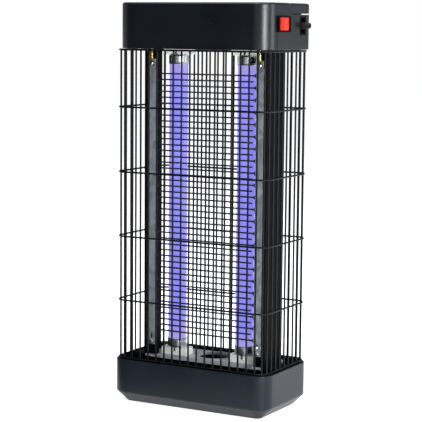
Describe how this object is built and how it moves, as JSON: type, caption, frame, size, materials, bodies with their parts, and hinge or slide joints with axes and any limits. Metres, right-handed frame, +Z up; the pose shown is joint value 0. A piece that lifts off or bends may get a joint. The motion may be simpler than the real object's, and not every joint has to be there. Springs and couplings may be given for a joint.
{
  "type": "electric bug zapper",
  "caption": "Free-standing electric bug zapper with wire guard, violet lamp tubes, high-voltage grid, side rocker switch, fold-flat carry handle and lift-off insect tray.",
  "frame": {"origin": "middle of the insect tray's flat underside", "axes": "+Z up, -Y out of the front with the grid, +X out of the side with the switch"},
  "size_m": [0.1748, 0.1025, 0.39],
  "materials": {
    "black_plastic": "moulded, satin gloss",
    "post_plastic": "moulded, fine grain",
    "black_wire": "powder coated wire",
    "red_rocker": "gloss",
    "galvanised": "galvanised, dull",
    "steel": "zinc plated",
    "brass": "plain, slightly tarnished",
    "lamp_glass": "phosphor-coated tube, lit",
    "lamp_cap": "bright spun",
    "cream_plastic": "heat-resistant moulding",
    "deck_paint": "light grey paint, satin",
    "board": "solder-resist coat",
    "iron_core": "varnished laminations",
    "yellow_tape": "polyester tape",
    "capacitor_sleeve": "shrink sleeve",
    "rubber": "moulded, dull"
  },
  "bodies": {
    "tower": {"side_post_left": "post_plastic", "side_post_right": "post_plastic", "deck_plate": "deck_paint", "lamp_tube_left": "lamp_glass", "lamp_cap_lower_left": "lamp_cap", "lamp_cap_upper_left": "lamp_cap", "lampholder_lower_left": "cream_plastic", "lampholder_upper_left": "cream_plastic", "lamp_tube_right": "lamp_glass", "lamp_cap_lower_right": "lamp_cap", "lamp_cap_upper_right": "lamp_cap", "lampholder_lower_right": "cream_plastic", "lampholder_upper_right": "cream_plastic", "grid_comb_left": "galvanised", "grid_comb_right": "galvanised", "bus_strip_left": "galvanised", "bus_strip_right": "galvanised", "grid_insulator_lower_left": "post_plastic", "grid_insulator_upper_left": "post_plastic", "grid_insulator_lower_right": "post_plastic", "grid_insulator_upper_right": "post_plastic", "terminal_lug_left": "brass", "terminal_screw_left": "steel", "strip_screw_left": "steel", "terminal_lug_right": "brass", "terminal_screw_right": "steel", "strip_screw_right": "steel", "guard_front": "black_wire", "guard_rear": "black_wire", "guard_left": "black_wire", "guard_right": "black_wire", "head_shell": "black_plastic", "head_base_plate": "black_plastic", "plate_screw_1": "steel", "plate_screw_2": "steel", "plate_screw_3": "steel", "plate_screw_4": "steel", "circuit_board": "board", "lamp_ballast_left": "iron_core", "lamp_ballast_right": "iron_core", "filter_capacitor_left": "capacitor_sleeve", "filter_capacitor_right": "capacitor_sleeve", "high_voltage_transformer": "yellow_tape", "mains_terminal_block": "cream_plastic", "switch_body": "black_plastic", "inlet_surround": "black_plastic", "cord_gland": "rubber", "handle_pin_left": "steel", "handle_pin_right": "steel"},
    "tray": {"insect_tray": "black_plastic"},
    "rocker": {"switch_rocker": "red_rocker"},
    "handle": {"carry_handle": "black_plastic"}
  },
  "joints": [
    {"name": "tower_lift_off", "type": "slide", "parent": "tray", "child": "tower", "axis": [0, 0, 1], "range_m": [0, 0.05]},
    {"name": "handle_swing", "type": "hinge", "parent": "tower", "child": "handle", "pos_m": [0, 0.0057, 0.385], "axis": [1, 0, 0], "range_deg": [0, 90]},
    {"name": "rocker_tip", "type": "hinge", "parent": "tower", "child": "rocker", "pos_m": [0.07912, -0.0132, 0.3704], "axis": [0, 0, 1], "range_deg": [-20, 0]}
  ]
}
